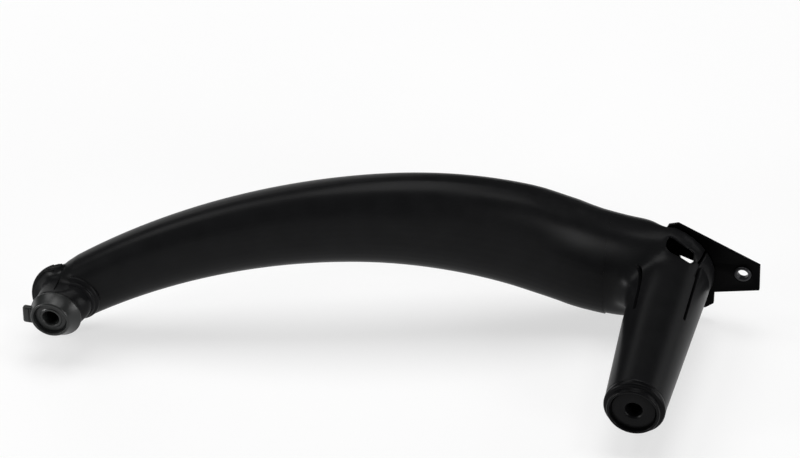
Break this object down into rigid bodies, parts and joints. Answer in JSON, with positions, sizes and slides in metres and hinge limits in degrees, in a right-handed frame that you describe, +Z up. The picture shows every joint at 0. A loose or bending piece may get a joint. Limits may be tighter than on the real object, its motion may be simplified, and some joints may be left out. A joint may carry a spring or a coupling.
{
  "type": "car door pull handle",
  "caption": "Fixed interior door pull handle: an arched satin black grip carried by a short and a long bolt post, with a side bracket for the trim at the long end",
  "frame": {"origin": "centre of the short post's seat, on the plane of the door panel", "axes": "+X along the door from the short post to the long post, +Y out of the door panel into the cabin, +Z up"},
  "size_m": [0.3005, 0.108, 0.0765],
  "materials": {
    "grip_black": "satin grained black plastic",
    "cup_black": "satin black plastic",
    "post_black": "smooth satin black plastic",
    "bracket_black": "matt black coated sheet steel",
    "eyelet_black": "black plated steel eyelet",
    "core_metal": "cast aluminium core",
    "fixing_metal": "zinc plated steel",
    "clip_plastic": "natural nylon",
    "pad_rubber": "black rubber"
  },
  "bodies": {
    "root": {"grip_shell": "grip_black", "grip_cover": "grip_black", "elbow_housing": "grip_black", "end_cup": "cup_black", "core_bar": "core_metal", "short_post": "post_black", "short_collar": "post_black", "short_insert": "fixing_metal", "short_screw": "fixing_metal", "neck_ring": "post_black", "long_post": "post_black", "long_collar": "post_black", "long_insert": "fixing_metal", "tie_rod": "fixing_metal", "tie_washer": "fixing_metal", "tie_nut": "fixing_metal", "end_bracket": "bracket_black", "bracket_eyelet": "eyelet_black", "bracket_screws": "fixing_metal", "cover_clips": "clip_plastic", "core_pads": "pad_rubber"}
  },
  "joints": []
}
